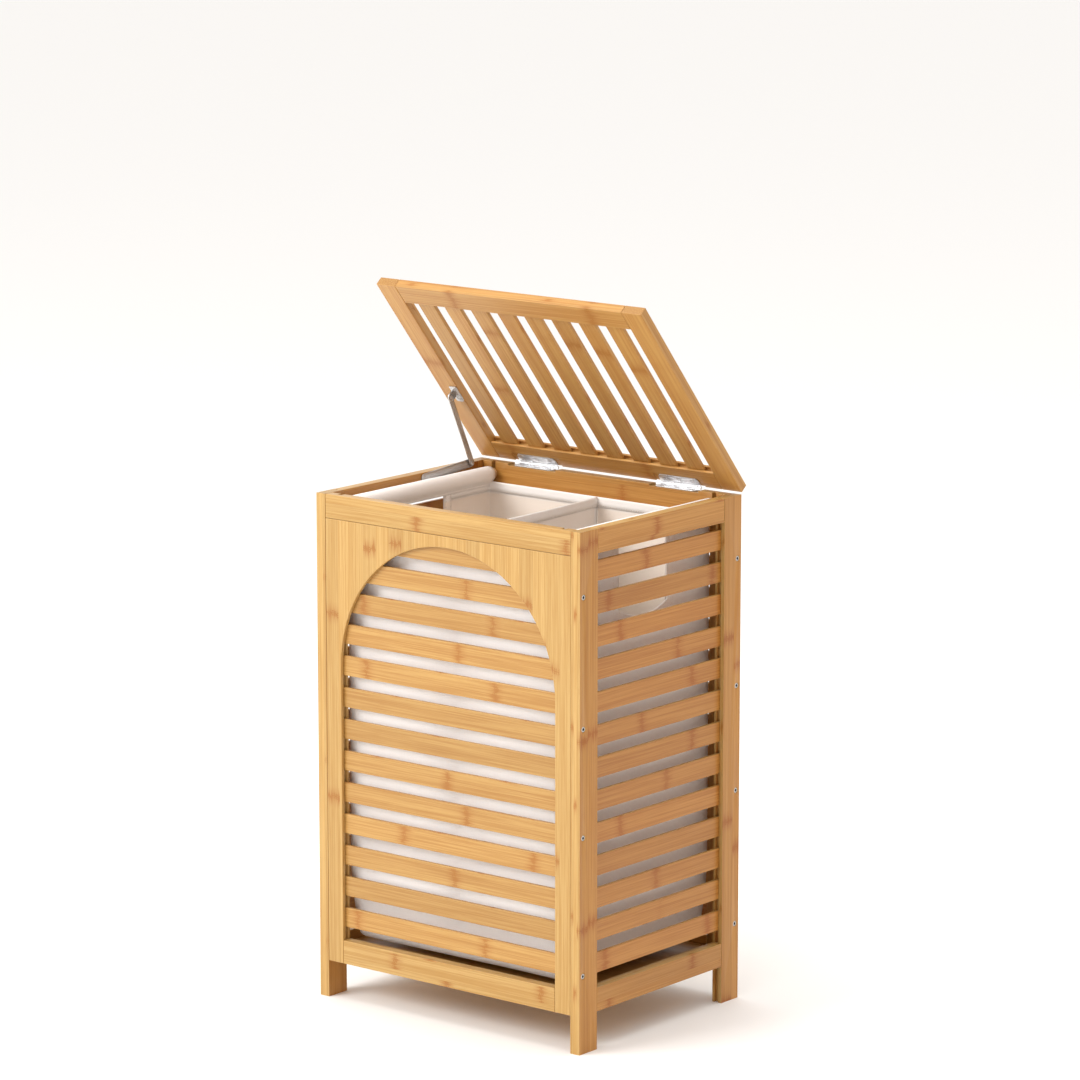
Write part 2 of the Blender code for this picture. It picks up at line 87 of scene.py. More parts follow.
class Recipe:
    """One procedural material, or a world. Each method adds nodes and returns an output socket."""

    def __init__(self, name, world=None):
        self.material = world or bpy.data.materials.new(name)
        self.material.use_nodes = True
        self.tree = self.material.node_tree
        self.shader = self.tree.nodes["Background" if world else "Principled BSDF"]

    def add(self, kind, *values, **settings):
        """A node, with values or sockets for its first inputs."""
        node = self.tree.nodes.new("ShaderNode" + kind)
        for key, value in settings.items():
            setattr(node, key, value)
        for socket, value in zip(node.inputs, values):
            self.feed(socket, value)
        return node

    def feed(self, socket, value):
        if isinstance(value, bpy.types.NodeSocket):
            self.tree.links.new(value, socket)
        else:
            socket.default_value = value

    def maths(self, operation, *values):
        return self.add("Math", *values, operation=operation).outputs[0]

    def times(self, first, second):
        return self.maths("MULTIPLY", first, second)

    def less(self, value):
        """One less the value."""
        return self.maths("SUBTRACT", 1.0, value)

    def total(self, *terms):
        """The sum of socket times weight for each pair."""
        result = 0.0
        for socket, weight in terms:
            result = self.maths("MULTIPLY_ADD", socket, weight, result)
        return result

    def split(self, vector):
        return self.add("SeparateXYZ", vector).outputs

    def join(self, x, y, z):
        return self.add("CombineXYZ", x, y, z).outputs[0]

    def stretch(self, parts, factors):
        return self.join(*map(self.times, parts, factors))

    def noise(self, at, scale=1.0, detail=2.0):
        node = self.add("TexNoise", at)
        node.inputs["Scale"].default_value = scale
        node.inputs["Detail"].default_value = detail
        return node.outputs["Fac"]

    def ramp(self, value, start, end, low=0.0, high=1.0):
        """Low before start, high after end, and a smooth step between them."""
        node = self.add("MapRange", value, start, end, low, high, interpolation_type="SMOOTHSTEP")
        return node.outputs[0]

    def mix(self, share, first, second, blend="MIX"):
        node = self.add("Mix", share, data_type="RGBA", blend_type=blend)
        for socket, colour in ((node.inputs[6], first), (node.inputs[7], second)):
            self.feed(socket, (*colour, 1.0) if isinstance(colour, tuple) else colour)
        return node.outputs[2]

    def bump(self, height, strength, distance):
        node = self.add("Bump", strength, distance)
        self.feed(node.inputs["Height"], height)
        self.feed(self.shader.inputs["Normal"], node.outputs[0])

    def set(self, **values):
        for name, value in values.items():
            self.feed(self.shader.inputs[name.replace("_", " ")], value)

    def own(self, name):
        """A number that the object carries, or 0."""
        return self.add("Attribute", attribute_type="OBJECT", attribute_name=name).outputs["Fac"]


def bamboo(name, light, dark, mark, strip, node_gap, one_strip=False):
    """Laminated bamboo along local X: strips side by side, plies in the thickness, fibres, flecks and node marks."""
    r = Recipe(name)
    coordinates = r.add("TexCoord")
    along, across, deep = r.split(coordinates.outputs["Object"])
    seed = r.own("seed")
    ply = 0.005
    scar_from_middle, scar_wide = 0.0026, 0.0014
    fan_short, fan_more, halo_reach = 0.0010, 0.0150, 0.017

    # Each lamella is a cell with its own random numbers
    start = 0.5 if one_strip else r.times(seed, 13.7)
    strip_at = r.maths("ADD", r.maths("DIVIDE", across, strip), start)
    ply_at = r.maths("ADD", r.maths("DIVIDE", deep, ply), 0.5)
    cell = r.join(r.maths("FLOOR", strip_at), r.maths("FLOOR", ply_at), r.times(seed, 91.0))
    numbers = r.add("TexWhiteNoise", cell).outputs["Color"]
    first, second, third = r.split(numbers)
    apart = r.add("VectorMath", numbers, operation="SCALE")
    apart.inputs["Scale"].default_value = 40.0

    def fibres(stretch, fineness, detail=2.0):
        at = r.stretch((along, across, deep), (stretch, fineness, fineness))
        return r.noise(r.add("VectorMath", at, apart.outputs[0], operation="ADD").outputs[0], 1.0, detail)

    fine = fibres(11.0, 1300.0)
    middle = fibres(5.0, 420.0)
    broad = fibres(2.4, 60.0)
    streak = r.total((fine, 0.44), (middle, 0.36), (broad, 0.20))
    colour = r.mix(r.ramp(streak, 0.40, 0.60), light, dark)

    # Vascular bundles, cut lengthways, are short dark dashes
    fleck = r.ramp(fibres(42.0, 2100.0, 0.0), 0.64, 0.78)
    colour = r.mix(r.times(fleck, 0.30), colour, mark)

    # A node: two scars across the strip, with dark fibres that feather away from them
    place = r.maths("ADD", r.maths("DIVIDE", along, node_gap), first)
    off = r.times(r.maths("SUBTRACT", r.maths("FRACT", place), 0.5), node_gap)
    wander = r.times(r.maths("SUBTRACT", fibres(0.0, 150.0), 0.5), 0.012)
    off = r.maths("ABSOLUTE", r.maths("ADD", off, wander))
    feather = r.ramp(fibres(3.0, 700.0, 1.0), 0.36, 0.70)
    reach = r.maths("MULTIPLY_ADD", feather, fan_more, fan_short)
    fan = r.less(r.ramp(off, 0.0, reach))
    scar = r.maths("ABSOLUTE", r.maths("SUBTRACT", off, scar_from_middle))
    scar = r.less(r.ramp(scar, 0.0003, scar_wide))
    scar = r.times(scar, r.ramp(fibres(0.0, 900.0, 0.0), 0.45, 0.60))
    shown = r.ramp(second, 0.15, 0.35)
    here = r.times(r.maths("MAXIMUM", fan, scar), shown)
    halo = r.times(r.less(r.ramp(off, 0.002, halo_reach)), shown)
    colour = r.mix(r.times(halo, 0.28), colour, mark)
    colour = r.mix(r.times(here, 0.85), colour, mark)

    # Glue lines between strips, and a tone for each lamella and each board
    edge = r.maths("ABSOLUTE", r.maths("SUBTRACT", r.maths("FRACT", strip_at), 0.5))
    glue = r.ramp(edge, 0.486, 0.498)
    tone = r.total((third, 0.13), (seed, 0.10), (glue, -0.10), (0.90, 1.0))
    colour = r.mix(1.0, colour, r.join(tone, tone, tone), "MULTIPLY")

    # Sawn ends are darker and dotted. Eased edges are a little paler: partly rubbed wear, partly a painted highlight
    # along the arris
    normal = r.split(coordinates.outputs["Normal"])
    end_way, side_way, face_way = (r.maths("ABSOLUTE", part) for part in normal)
    dots = r.ramp(r.noise(coordinates.outputs["Object"], 900.0, 1.0), 0.45, 0.6)
    sawn = r.mix(dots, tuple(0.86 * part for part in dark), tuple(0.90 * part for part in light))
    colour = r.mix(r.ramp(end_way, 0.75, 0.9), colour, sawn)
    squarest = r.maths("MAXIMUM", r.maths("MAXIMUM", end_way, side_way), face_way)
    wear_and_highlight = r.less(r.ramp(squarest, 0.80, 0.99))
    colour = r.mix(r.times(wear_and_highlight, 0.22), colour, tuple(min(1.0, 1.15 * part) for part in light))

    # Painted warm shade: the faces marked as looking into the hamper, and the right panel's outside, are made darker
    # and more orange
    upper = r.times(r.own("painted_shade_upper"), r.ramp(normal[2], 0.6, 0.8))
    under = r.times(r.own("painted_shade_under"), r.ramp(normal[2], -0.8, -0.6, 1.0, 0.0))
    colour = r.mix(r.maths("ADD", upper, under), colour, CANE_PAINTED_SHADE, "MULTIPLY")

    r.set(Base_Color=colour, Roughness=r.total((streak, 0.20), (here, 0.08), (0.32, 1.0)))
    r.set(Coat_Weight=0.12, Coat_Roughness=0.28, Specular_IOR_Level=0.42)
    height = r.total((fine, 0.5), (middle, 0.3), (here, -0.5), (glue, -0.6))
    r.bump(height, 0.22, 0.0004)
    return r.material


def cloth(name, light, shade, rim):
    """Plain-weave cotton canvas, from a UV map in metres. Its inner faces carry painted warm bounce light, which
    fades above the height rim, where the canvas is doubled.
    """
    r = Recipe(name)
    yarn = 0.00072
    at = r.add("UVMap", uv_map="weave").outputs[0]
    across, down, _ = r.split(at)
    warp = r.maths("SINE", r.times(across, math.pi / yarn))
    weft = r.maths("SINE", r.times(down, math.pi / yarn))
    over = r.ramp(r.times(warp, weft), -0.15, 0.15)
    warp_crown = r.times(r.maths("ABSOLUTE", warp), over)
    weft_crown = r.times(r.maths("ABSOLUTE", weft), r.less(over))
    crown = r.maths("ADD", warp_crown, weft_crown)
    thin, drawn_out = 900.0, 45.0
    slub = r.noise(r.join(r.times(across, thin), r.times(down, drawn_out), 0.0))
    slub_across = r.noise(r.join(r.times(across, drawn_out), r.times(down, thin), 3.0))
    coordinates = r.add("TexCoord")
    patch = r.noise(coordinates.outputs["Object"], 9.0, 3.0)
    # Yarn crowns are lighter and the hollows between yarns darker, which is painted shade; the slubs and patches add
    # the canvas's own uneven tone
    depth = r.total((crown, 0.42), (slub, 0.30), (slub_across, 0.30), (patch, 0.35))
    colour = r.mix(r.ramp(depth, 0.40, 1.0), shade, light)

    # Painted warm bounce light inside the bag, standing in for the bamboo's light coming through the single canvas;
    # it fades where the canvas is doubled along the rim
    x, y, z = r.split(coordinates.outputs["Object"])
    normal_x, normal_y, _ = r.split(coordinates.outputs["Normal"])
    outward = r.maths("MULTIPLY_ADD", x, normal_x, r.times(y, normal_y))
    painted_warmth_below_rim = r.ramp(z, rim - 0.004, rim, 1.0, 0.25)
    inside = r.times(r.ramp(outward, -0.02, 0.02, 1.0, 0.0), painted_warmth_below_rim)
    colour = r.mix(inside, colour, r.mix(1.0, colour, (1.0, 0.90, 0.80), "MULTIPLY"))
    r.set(Base_Color=colour, Roughness=r.total((crown, -0.08), (0.93, 1.0)))
    r.set(Sheen_Weight=0.25, Sheen_Roughness=0.6, Specular_IOR_Level=0.25)
    r.bump(r.total((crown, 0.7), (slub, 0.3), (slub_across, 0.3)), 0.30, 0.00025)
    return r.material


def thread(name, colour):
    r = Recipe(name)
    at = r.add("TexCoord").outputs["Object"]
    twist = r.noise(at, 2600.0, 1.0)
    pale = tuple(min(1.0, 1.35 * part) for part in colour)
    r.set(Base_Color=r.mix(twist, colour, pale), Roughness=r.total((twist, 0.2), (0.6, 1.0)))
    r.bump(twist, 0.4, 0.0001)
    return r.material


def metal(name, colour, roughness, stretch):
    """Polished or brushed metal with its marks drawn out along local X."""
    r = Recipe(name)
    at = r.add("TexCoord").outputs["Object"]
    fine = 260.0
    lines = r.noise(r.stretch(r.split(at), (fine, fine * stretch, fine * stretch)), 1.0, 3.0)
    cloud = r.noise(at, 90.0, 3.0)
    dull = tuple(0.82 * part for part in colour)
    colour = r.mix(r.total((lines, 0.6), (cloud, 0.4)), dull, colour)
    r.set(Base_Color=colour, Metallic=1.0)
    r.set(Roughness=r.total((lines, 0.22), (cloud, 0.12), (roughness - 0.12, 1.0)))
    r.bump(lines, 0.10, 0.0001)
    return r.material


LIGHT_CANE = (0.525, 0.325, 0.108)
WARM_CANE = (0.425, 0.228, 0.056)
CANE_MARK = (0.345, 0.130, 0.018)
CANE_PAINTED_SHADE = (0.92, 0.72, 0.48)  # painted warm shade, multiplied into the colour of the faces that look into the hamper and of the right panel's outside
RECIPES = {
    "bamboo": (bamboo, LIGHT_CANE, WARM_CANE, CANE_MARK, 0.0205, 0.232),
    "slat_bamboo": (bamboo, (0.505, 0.288, 0.084), (0.395, 0.190, 0.042), CANE_MARK, 0.060, 0.205, True),
    "lid_bamboo": (bamboo, (0.505, 0.275, 0.077), (0.405, 0.180, 0.038), CANE_MARK, 0.060, 0.215, True),
    "rod_wood": (bamboo, (0.760, 0.560, 0.330), (0.640, 0.430, 0.220), (0.45, 0.24, 0.10), 0.030, 0.6, True),
    "liner_fabric": (cloth, (0.945, 0.935, 0.925), (0.875, 0.855, 0.835), 0.6035),
    "hinge_metal": (metal, (0.80, 0.80, 0.81), 0.26, 3.0),
    "stay_steel": (metal, (0.62, 0.61, 0.60), 0.34, 9.0),
}
LOOKS = {name: make(name, *settings) for name, (make, *settings) in RECIPES.items()}
# The thread is darker than the canvas: partly its own colour, partly painted shade of the seam grooves
THREAD_AND_SEAM_SHADE = thread("liner_thread_and_seam_shade", (0.520, 0.440, 0.370))
# Near-black metal for the inside of the bolts' hex sockets, which is painted shade in the recess
SOCKET_PAINTED_SHADE = metal("bolt_socket_shade", (0.10, 0.10, 0.10), 0.5, 1.0)


# ---------------- making pieces


def linked(name, data):
    """A new object in the scene."""
    made = bpy.data.objects.new(name, data)
    bpy.context.scene.collection.objects.link(made)
    return made


def piece(name, mesh, look, body, place=IDENTITY, finish=None):
    """An object that rides on a body and takes its finish from the material of its look, unless a finish is given."""
    made = linked(name, mesh)
    if not mesh.materials:
        mesh.materials.append(finish or LOOKS[look])
    made["seed"] = (next(NUMBERS) * GOLDEN) % 1.0
    made.matrix_world = place
    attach(made, body)
    return made


def mesh_from(name, shape):
    mesh = bpy.data.meshes.new(name)
    shape.to_mesh(mesh)
    shape.free()
    mesh.shade_smooth()
    mesh.set_sharp_from_angle(angle=SHARP)
    return mesh


def frozen(made):
    """Replaces an object's mesh by what its modifiers make of it."""
    graph = bpy.context.evaluated_depsgraph_get()
    mesh = bpy.data.meshes.new_from_object(made.evaluated_get(graph))
    made.modifiers.clear()
    made.data = mesh
    return made


def cut(made, cutter):
    cutting = made.modifiers.new("cut", "BOOLEAN")
    cutting.operation = "DIFFERENCE"
    cutting.object = cutter


def rounded(made, width, segments, angle):
    """Bevels the edges sharper than the angle."""
    rounding = made.modifiers.new("edge", "BEVEL")
    rounding.width = width
    rounding.segments = segments
    rounding.limit_method = "ANGLE"
    rounding.angle_limit = math.radians(angle)
    return rounding


def ease(made, width):
    """Rounds a board's arrises."""
    rounded(made, width, 3, 40).harden_normals = True
    return made


def grain_frame(grain, thick):
    """Axes with X along the grain and Z through the board's thickness."""
    across = AXES[thick].cross(AXES[grain])
    return Matrix((AXES[grain], across, AXES[thick])).transposed().to_4x4()


def paint_warm_shade(made, thick, centre):
    """Marks for painted warm shade the faces that look into the hamper, and the right panel's outside."""
    side = centre.dot(AXES[thick])
    outside = float(thick == "X" and side > 0)
    made["painted_shade_upper"] = outside if side > 0 else 1.0
    made["painted_shade_under"] = 1.0 if side > 0 else outside


def board(node, grain, thick, look="bamboo", body="carcass", turn=IDENTITY, holes=()):
    """A CAD board with eased arrises. Holes are counterbores along X, each its centre on a face, in the row frame."""
    low, high = span(node, turn)
    place = turn @ Matrix.Translation((low + high) / 2) @ grain_frame(grain, thick)
    shape = bmesh.new()
    shape.from_mesh(frame["nodes"][node].data)
    bmesh.ops.transform(shape, matrix=place.inverted(), verts=shape.verts)
    bmesh.ops.remove_doubles(shape, verts=shape.verts, dist=WELD)
    bmesh.ops.dissolve_limit(shape, angle_limit=FLAT_WITHIN, verts=shape.verts, edges=shape.edges)
    made = piece(node + "_wood", mesh_from(node, shape), look, body, place)
    for hole in holes:
        drill(made, hole)
    # The faces that look into the hamper get painted warm shade
    if thick != "Z":
        paint_warm_shade(made, thick, low + high)
    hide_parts(node)
    return ease(made, ARRIS)


def slat(name, low, high, grain, thick):
    place = Matrix.Translation((low + high) / 2) @ grain_frame(grain, thick)
    size = grain_frame(grain, thick).to_3x3().inverted() @ (high - low)
    shape = bmesh.new()
    bmesh.ops.create_cube(shape, size=1, matrix=Matrix.Diagonal((*map(abs, size), 1)))
    made = piece(name, mesh_from(name, shape), "slat_bamboo", "carcass", place)
    # The faces that look into the hamper get painted warm shade
    paint_warm_shade(made, thick, low + high)
    return ease(made, SLAT_ARRIS)


# ---------------- fasteners

BOLT_HEAD_R = 0.0034
BOLT_HOLE_R = 0.0037
BOLT_SINK = 0.0004
BOLT_DEEP = 0.0040
BOLT_HEIGHTS = (0.097, 0.268, 0.401, 0.561)
HEX_R = 0.0019


def drill(made, hole):
    """Cuts a counterbore along X, centred on a point of the row frame."""
    shape = bmesh.new()
    bmesh.ops.create_cone(
        shape, cap_ends=True, segments=32, radius1=BOLT_HOLE_R, radius2=BOLT_HOLE_R, depth=2 * BOLT_DEEP
    )
    cutter = linked("counterbore", mesh_from("counterbore", shape))
    cutter.matrix_world = Matrix.Translation(hole) @ TO_X
    cut(made, cutter)
    frozen(made)
    bpy.data.objects.remove(cutter)


def ring_points(radius, count, z):
    step = 2 * math.pi / count
    return [(radius * math.cos(step * i), radius * math.sin(step * i), z) for i in range(count)]


def ring_of(shape, points):
    return [shape.verts.new(point) for point in points]


def closed_stack(shape, rings):
    """Quads between each two rings, and a face over the first and the last."""
    for lower, upper in zip(rings, rings[1:]):
        for i in range(len(lower)):
            j = (i + 1) % len(lower)
            shape.faces.new((lower[i], lower[j], upper[j], upper[i]))
    shape.faces.new(list(reversed(rings[0])))
    shape.faces.new(rings[-1])
    return shape


def arc_points(x, y, radius, start, sweep, steps):
    turns = [math.radians(start + sweep * step / steps) for step in range(steps + 1)]
    return [(x + radius * math.cos(turn), y + radius * math.sin(turn)) for turn in turns]


def lathe(profile, count=32):
    """A turned shape about Z, closed at both ends. Profile: radius and height pairs, from bottom to top."""
    shape = bmesh.new()
    return closed_stack(shape, [ring_of(shape, ring_points(radius, count, z)) for radius, z in profile])


def two_ended(end):
    """A lathe profile from that of its upper end."""
    return [(radius, -z) for radius, z in reversed(end)] + end


def socket_head():
    """A flat bolt head with a hexagon socket, facing +Z, its face at z 0."""
    rim, chamfer, depth = BOLT_HEAD_R, 0.0005, 0.0018
    count = 24
    shape = bmesh.new()
    rings = []
    for radius, z in ((rim, -BOLT_DEEP + 0.0003), (rim, -chamfer), (rim - chamfer, 0.0)):
        rings.append(ring_of(shape, ring_points(radius, count, z)))
    for z in (0.0, -depth):
        corners = ring_points(HEX_R, 6, z)
        sides = []
        for start, end in zip(corners, corners[1:] + corners[:1]):
            for step in range(count // 6):
                sides.append(Vector(start).lerp(Vector(end), step * 6 / count))
        rings.append(ring_of(shape, sides))
    closed_stack(shape, rings)
    bmesh.ops.recalc_face_normals(shape, faces=shape.faces)
    mesh = mesh_from("socket_head", shape)
    mesh.materials.append(LOOKS["stay_steel"])
    mesh.materials.append(SOCKET_PAINTED_SHADE)
    # The socket's walls and floor take the near-black metal: painted shade in the recess
    for face in mesh.polygons:
        inside = math.hypot(face.center.x, face.center.y) < HEX_R and face.center.z < -depth / 4
        face.material_index = int(inside and face.center.z > -2 * depth)
    return mesh


def cross_head(radius, crown):
    """A screw head with a cross recess, facing +Z, resting on z 0."""
    rim = [(0.55 * radius, -0.0008), (radius, -0.0001), (radius, 0.0001)]
    shape = lathe([*rim, (0.86 * radius, 0.75 * crown), (0.4 * radius, crown)])
    head = linked("head", mesh_from("head", shape))
    cutters = []
    for turn in (0, math.pi / 2):
        blade = bmesh.new()
        size = Matrix.Diagonal((radius * 1.15, radius * 0.24, crown + 0.0008, 1))
        place = Matrix.Rotation(turn, 4, "Z") @ Matrix.Translation((0, 0, crown))
        bmesh.ops.create_cube(blade, size=1, matrix=place @ size)
        cutters.append(linked("blade", mesh_from("blade", blade)))
        cut(head, cutters[-1])
    mesh = frozen(head).data
    for made in (head, *cutters):
        bpy.data.objects.remove(made)
    return mesh


def facing(way, at):
    """A frame at a point whose Z looks along way."""
    return Matrix.Translation(at) @ Vector(way).to_track_quat("Z", "Y").to_matrix().to_4x4()


# ---------------- wooden frame


def carcass():
    front = span("front_top_rail")
    back = span("back_top_rail")
    bolt_y = {"front": (front[0].y + front[1].y) / 2, "back": (back[0].y + back[1].y) / 2}
    head = socket_head()
    for side, sign in (("left", -1), ("right", 1)):
        for end in ("front", "back"):
            node = f"{side}_{end}_post"
            low, high = span(node)
            face = high.x if sign > 0 else low.x
            at = [Vector((face, bolt_y[end], height)) for height in BOLT_HEIGHTS]
            board(node, "Z", "X", holes=at)
            for number, place in enumerate(at):
                sunk = place - Vector((sign * BOLT_SINK, 0, 0))
                spin = Matrix.Rotation(number * GOLDEN * math.pi, 4, "Z")
                turned = facing((sign, 0, 0), sunk) @ spin
                piece(f"{side}_{end}_bolt_{number + 1}", head, "stay_steel", "carcass", turned)
        for level in ("top", "bottom"):
            board(f"{side}_{level}_rail", "Y", "X")
        board(f"back_{side}_stile", "Z", "Y")
    board("front_arch_frame", "Z", "Y")
    for end in ("front", "back"):
        for level in ("top", "bottom"):
            board(f"{end}_{level}_rail", "X", "Y")
    board("bottom_board", "X", "Z", "slat_bamboo")


def slats():
    """The front's slats are CAD boards. Each side's and the back's are one CAD ladder, and separate here."""
    count = sum(name.startswith("front_slat_") for name in frame["nodes"])
    spans = [span(f"front_slat_{number + 1}") for number in range(count)]
    for number in range(count):
        board(f"front_slat_{number + 1}", "X", "Y", "slat_bamboo")
    for side, grain, thick in (("left", "Y", "X"), ("right", "Y", "X"), ("back", "X", "Y")):
        low, high = span(f"{side}_slats")
        for number, (under, over) in enumerate(spans):
            bottom = Vector((low.x, low.y, under.z))
            top = Vector((high.x, high.y, over.z))
            slat(f"{side}_slat_{number + 1}", bottom, top, grain, thick)
        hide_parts(f"{side}_slats")


def lid():
    for side in ("left", "right"):
        board(f"lid_{side}_stile", "Y", "Z", "lid_bamboo", "lid", LID)
    for end in ("front", "back"):
        board(f"lid_{end}_rail", "X", "Z", "lid_bamboo", "lid", LID)
    count = sum(name.startswith("lid_slat_") for name in frame["nodes"])
    for number in range(count):
        board(f"lid_slat_{number + 1}", "Y", "Z", "lid_bamboo", "lid", LID)


# ---------------- liner

CLOTH = 0.0012  # thickness of the canvas
HEM_CLOTH = 0.0005  # of the hems and the slot bands
SLEEVE_CLOTH = 0.0009
CORNER = 0.005  # radius of the bag's upright corners
FOLD = 0.010  # radius where a wall turns under into the bottom
SAG = 0.004  # how far a compartment's bottom hangs in its middle
TAPER = 0.055  # how much the bag narrows towards its bottom
TAPER_HIGH = 0.110  # from the bottom to where the narrowing starts
FOLD_STEPS = 6
BOTTOM_RINGS = 12
PUCKER = 0.0008
HEM = 0.0115
CELL = 0.007  # side of a mesh cell
SWELL = 0.0034
RIM_CALM = 0.06  # the fine folds fade out this far under the rim
FOLDS_OUT = 0.0013
WRINKLES_OUT = 0.0005
CREASE_Z = 0.212
CREASE_HALF = 0.017
CREASE_DEEP = 0.0036
CREASE_DRIFT = 0.012
BULGE_BELOW = 0.050  # from the crease
BULGE_HALF = 0.032
BULGE_OUT = 0.0022
DIVIDER_ROWS = 70
DIVIDER_DIP = 0.0018  # of its top edge
DIVIDER_WAVE = 0.0035
SLEEVE_R = 0.0093
SLEEVE_TAIL = 0.0150  # how far the sewn edges reach below the rod's axis
SLEEVE_SHUT = 0.0118  # where the tube's two sides meet
SLEEVE_SEAM = 0.0133
SLEEVE_STEPS = 24
SLOT_BAND = 0.0125
SLOT_CLEAR = 0.002  # the slot is this much larger all round than its stated opening
SLOT_SAG = 0.011
SLOT_STEPS = 16
SLOT_PULL = 0.035  # the cloth droops with the slot's edge to this far from it
STITCH = 0.0026
STITCH_GAP = 0.0011
STITCH_R = 0.00028
STITCH_SIDES = 5


def middle(node):
    low, high = span(node)
    return (low + high) / 2


ROD = middle("right_liner_rod")
BAG_LOW, BAG_HIGH = span("liner_bag")
BAG_Y = (BAG_LOW.y + BAG_HIGH.y) / 2
HALF_X = ROD.x
HALF_Y = (BAG_HIGH.y - BAG_LOW.y) / 2
BOTTOM = BAG_LOW.z + SAG
RIM = ROD.z - 0.0100
OPENINGS = {opening["name"]: opening["box_m"] for opening in frame["record"]["physics"]["openings"]}
SLOT_BOX = OPENINGS["right_handle_slot"]
SLOT_HALF = (SLOT_BOX[1][1] - SLOT_BOX[0][1]) / 2 + SLOT_CLEAR
SLOT_LOW = SLOT_BOX[0][2] - SLOT_CLEAR

# The bag's four walls in plan, anticlockwise from the front left: length, start and direction
RUNS = (
    (2 * (HALF_X - CORNER), Vector((CORNER - HALF_X, -HALF_Y)), Vector((1, 0))),
    (2 * (HALF_Y - CORNER), Vector((HALF_X, CORNER - HALF_Y)), Vector((0, 1))),
    (2 * (HALF_X - CORNER), Vector((HALF_X - CORNER, HALF_Y)), Vector((-1, 0))),
    (2 * (HALF_Y - CORNER), Vector((-HALF_X, HALF_Y - CORNER)), Vector((0, -1))),
)
QUARTER = CORNER * math.pi / 2
ROUND = sum(run[0] for run in RUNS) + 4 * QUARTER
RUN_STARTS = [sum(run[0] + QUARTER for run in RUNS[:number]) for number in range(4)]


def plan(arc):
    """A point of the bag's outline in plan, the way out from it, its wall and its share of that wall's width."""
    arc %= ROUND
    for number, (length, start, way) in enumerate(RUNS):
        out = Vector((way.y, -way.x))
        if arc <= length:
            return start + arc * way, out, number, arc / length
        arc -= length
        if arc <= QUARTER:
            turn = arc / CORNER
            aim = math.cos(turn) * out + math.sin(turn) * way
            return start + length * way - CORNER * out + CORNER * aim, aim, None, 0.0
        arc -= QUARTER
    return plan(0.0)


def arc_at(wall, along):
    """The arc of a place on an end wall (1 or 3), given as y from the bag's middle, or on wall 0 or 2, as x."""
    _, start, way = RUNS[wall]
    place = along - (start.y if wall in (1, 3) else start.x)
    return RUN_STARTS[wall] + place * (way.y if wall in (1, 3) else way.x)


def swell(spot, wall, share, z):
    """How far the cloth stands out: it billows between its seams, creases low down, and has fine wrinkles."""
    if wall is None:
        return 0.0
    across = abs(math.sin(2 * math.pi * share)) if wall in (0, 2) else math.sin(math.pi * share)
    up = min(1.0, max(0.0, (z - BOTTOM) / (RIM - BOTTOM)))
    drift = CREASE_DRIFT * noise.noise((5 * spot.x, 5 * spot.y, wall))
    crease = math.exp(-(((z - CREASE_Z - drift) / CREASE_HALF) ** 2))
    bulge = math.exp(-(((z - CREASE_Z + BULGE_BELOW) / BULGE_HALF) ** 2))
    fade = min(1.0, (RIM - z) / RIM_CALM)
    folds = noise.noise((11 * spot.x, 11 * spot.y, 5 * z + 9))
    wrinkles = noise.noise((34 * spot.x, 34 * spot.y, 13 * z + 4))
    calm = SWELL * math.sin(math.pi * up) + BULGE_OUT * bulge - CREASE_DEEP * crease
    fine = FOLDS_OUT * folds + WRINKLES_OUT * wrinkles
    return across**0.6 * calm + fade * min(1.0, 3 * across) * fine


def inset(z):
    """How far the wall has turned in at this height, where it rounds into the bottom."""
    rise = BOTTOM + FOLD - z
    if rise <= 0:
        return 0.0
    return FOLD - math.sqrt(max(0.0, FOLD**2 - rise**2))


def narrowing(z):
    """The bag's scale in plan at this height."""
    return 1 - TAPER * max(0.0, 1 - (z - BOTTOM) / TAPER_HIGH) ** 2


def on_bag(arc, z, lift=0.0):
    """A point of the row frame on the bag's outside, or lift metres out from it."""
    spot, out, wall, share = plan(arc)
    spot = spot + out * (swell(spot, wall, share, z) - inset(z) + lift)
    scale = narrowing(z)
    return Vector((spot.x * scale, BAG_Y + spot.y * scale, z))


def grid(name, rows, uvs, keep):
    """A sheet from rows of points. uvs(row, column, face_row) is a corner's place on the cloth in metres."""
    shape = bmesh.new()
    weave = shape.loops.layers.uv.new("weave")
    verts = [[shape.verts.new(point) for point in row] for row in rows]
    for i in range(len(rows) - 1):
        for j in range(len(rows[0]) - 1):
            if keep and not keep(i, j):
                continue
            corners = ((i, j), (i + 1, j), (i + 1, j + 1), (i, j + 1))
            face = shape.faces.new([verts[row][column] for row, column in corners])
            for loop, (row, column) in zip(face.loops, corners):
                loop[weave].uv = uvs(row, column, i)
    bmesh.ops.delete(shape, geom=[v for v in shape.verts if not v.link_faces], context="VERTS")
    bmesh.ops.remove_doubles(shape, verts=shape.verts, dist=WELD)
    return mesh_from(name, shape)


def canvas(name, rows, uvs, thick=HEM_CLOTH, offset=0, keep=None):
    """A piece of the liner from its grid. The thickness goes to both sides, or inwards with offset -1."""
    made = piece(name, grid(name, rows, uvs, keep), "liner_fabric", "carcass")
    layer = made.modifiers.new("cloth", "SOLIDIFY")
    layer.thickness = thick
    layer.offset = offset
    return made


def spread(stops, most=CELL):
    """The stops, with enough even steps between each two."""
    result = [stops[0]]
    for start, end in zip(stops, stops[1:]):
        count = max(1, math.ceil(abs(end - start) / most))
        result += [start + (end - start) * step / count for step in range(1, count + 1)]
    return result


def bag_columns():
    stops = []
    for wall, (length, _, _) in enumerate(RUNS):
        start = RUN_STARTS[wall]
        middle_stops = [start + length / 2]
        if wall in (1, 3):
            middle_stops = sorted(arc_at(wall, y) for y in (-SLOT_HALF, 0.0, SLOT_HALF))
        stops += [start, *middle_stops, start + length]
    return spread([*stops, ROUND])


